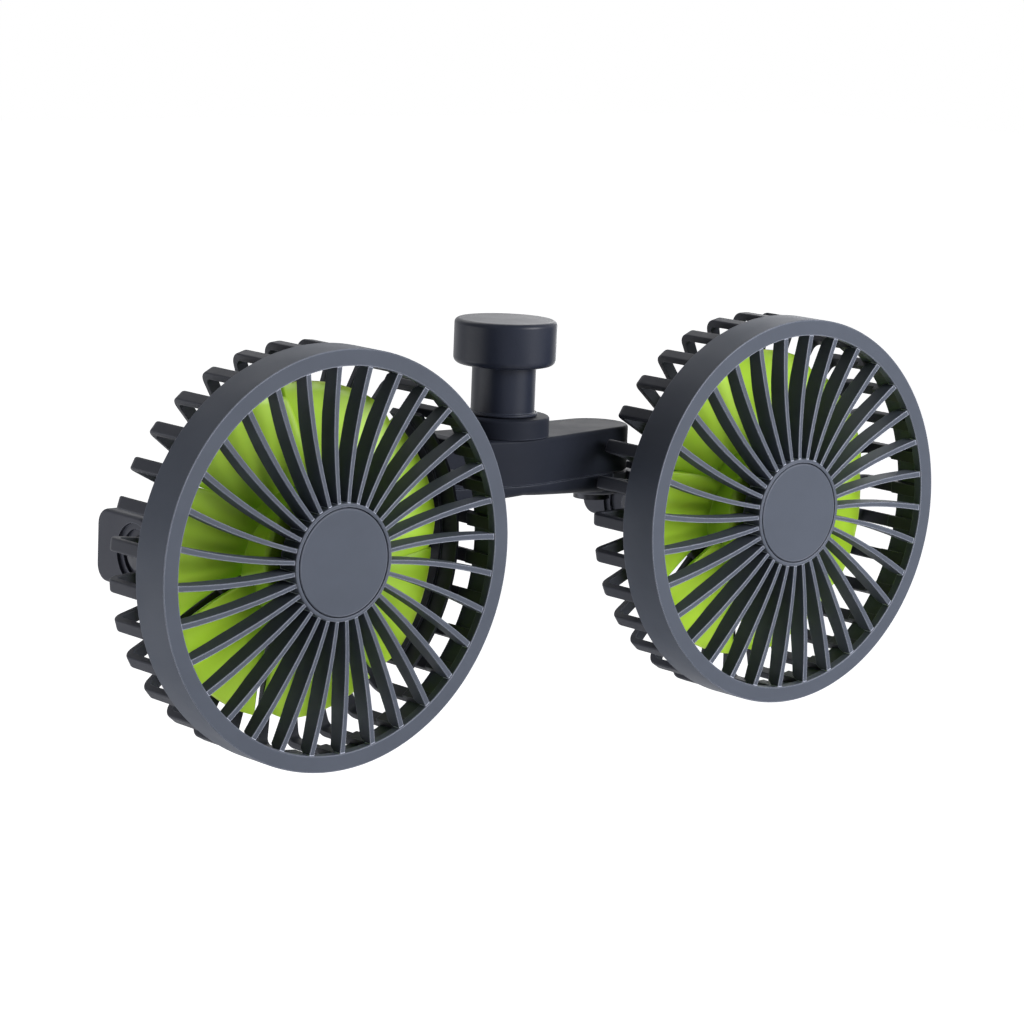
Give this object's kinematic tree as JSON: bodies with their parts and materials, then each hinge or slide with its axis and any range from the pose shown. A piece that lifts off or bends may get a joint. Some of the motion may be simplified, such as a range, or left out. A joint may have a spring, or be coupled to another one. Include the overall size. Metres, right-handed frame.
{
  "type": "dual head car fan",
  "caption": "Two caged axial fan heads hung side by side from a short swivelling arm with a round mounting foot.",
  "frame": {"origin": "centre of the flat top face of the mounting foot", "axes": "+Z out of the foot's face, +X along the row of heads, the heads blow towards -Y"},
  "size_m": [0.284, 0.055, 0.115],
  "materials": {
    "slate_plastic": "fine satin moulded texture",
    "cage_plastic": "fine satin moulded texture",
    "arm_plastic": "satin moulded",
    "foot_plastic": "satin moulded",
    "lime_plastic": "semi gloss moulded",
    "steel": "bright zinc plated",
    "motor_metal": "plated motor can",
    "brass": "turned",
    "rubber": "matte"
  },
  "bodies": {
    "foot": {"foot_cap": "foot_plastic", "foot_neck": "foot_plastic", "swivel_washer": "steel", "swivel_screw": "steel"},
    "arm": {"arm_upper_shell": "arm_plastic", "arm_lower_cover": "arm_plastic", "swivel_collar": "arm_plastic", "swivel_bush": "brass", "arm_cover_screws": "steel", "cable_inlet": "rubber", "pan_washers": "brass", "pan_pin_left": "steel", "pan_pin_right": "steel"},
    "yoke_left": {"yoke_left": "arm_plastic", "yoke_cover_left": "arm_plastic", "yoke_screws_left": "steel", "tilt_pins_left": "steel"},
    "head_left": {"front_grille_left": "slate_plastic", "hub_disc_left": "slate_plastic", "rear_cage_left": "cage_plastic", "tilt_bracket_left": "cage_plastic", "motor_can_left": "motor_metal", "motor_bush_left": "brass", "motor_screws_left": "steel"},
    "fan_left": {"impeller_left": "lime_plastic", "motor_shaft_left": "steel", "impeller_nut_left": "brass"},
    "yoke_right": {"yoke_right": "arm_plastic", "yoke_cover_right": "arm_plastic", "yoke_screws_right": "steel", "tilt_pins_right": "steel"},
    "head_right": {"front_grille_right": "slate_plastic", "hub_disc_right": "slate_plastic", "rear_cage_right": "cage_plastic", "tilt_bracket_right": "cage_plastic", "motor_can_right": "motor_metal", "motor_bush_right": "brass", "motor_screws_right": "steel"},
    "fan_right": {"impeller_right": "lime_plastic", "motor_shaft_right": "steel", "impeller_nut_right": "brass"}
  },
  "joints": [
    {"name": "arm_swivel", "type": "hinge", "parent": "foot", "child": "arm", "pos_m": [0, 0, -0.0274], "axis": [0, 0, 1], "continuous": true},
    {"name": "pan_left", "type": "hinge", "parent": "arm", "child": "yoke_left", "pos_m": [-0.04, 0.0051, -0.0494], "axis": [0, 0, -1], "range_deg": [0, 40]},
    {"name": "tilt_left", "type": "hinge", "parent": "yoke_left", "child": "head_left", "pos_m": [-0.0845, -0.0009, -0.0574], "axis": [1, 0, 0], "range_deg": [-6, 65]},
    {"name": "spin_left", "type": "hinge", "parent": "head_left", "child": "fan_left", "pos_m": [-0.0845, -0.0219, -0.0574], "axis": [0, 1, 0], "continuous": true},
    {"name": "pan_right", "type": "hinge", "parent": "arm", "child": "yoke_right", "pos_m": [0.04, 0.0051, -0.0494], "axis": [0, 0, 1], "range_deg": [0, 40]},
    {"name": "tilt_right", "type": "hinge", "parent": "yoke_right", "child": "head_right", "pos_m": [0.0845, -0.0009, -0.0574], "axis": [1, 0, 0], "range_deg": [-6, 65]},
    {"name": "spin_right", "type": "hinge", "parent": "head_right", "child": "fan_right", "pos_m": [0.0845, -0.0219, -0.0574], "axis": [0, 1, 0], "continuous": true}
  ]
}
